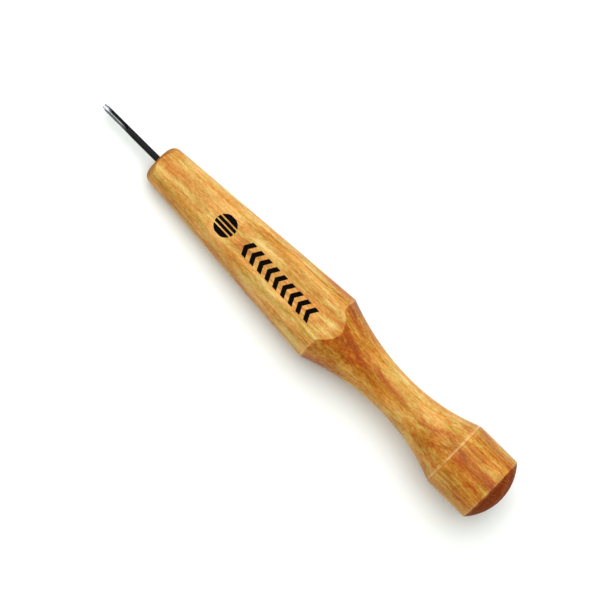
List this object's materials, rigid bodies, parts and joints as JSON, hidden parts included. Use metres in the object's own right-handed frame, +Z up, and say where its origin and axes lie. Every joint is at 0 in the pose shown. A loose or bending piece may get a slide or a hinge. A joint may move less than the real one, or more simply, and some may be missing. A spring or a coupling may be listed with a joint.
{
  "type": "lino cutter",
  "caption": "Palm-grip lino cutter: a fine U-gouge glued into a turned hardwood handle with a tapered grip, two opposite flats, a narrow waist and a domed butt.",
  "frame": {"origin": "on the tool's axis, halfway between the cutting edge and the top of the domed butt, which is the centre of the whole tool's box", "axes": "+X along the axis towards the cutting edge; +Z up out of the thumb flat and out of the open side of the gouge; +Y across the flats' width"},
  "size_m": [0.1366, 0.0194, 0.0186],
  "materials": {
    "handle": "amber-lacquered turned hardwood, satin gloss, with darker red-brown end grain on the dome",
    "gouge_blade": "black heat-scaled tool steel, bright where it is ground at the cutting edge",
    "tang_adhesive": "cured amber epoxy"
  },
  "bodies": {
    "root": {"handle": "handle", "gouge_blade": "gouge_blade", "tang_adhesive": "tang_adhesive"}
  },
  "joints": []
}
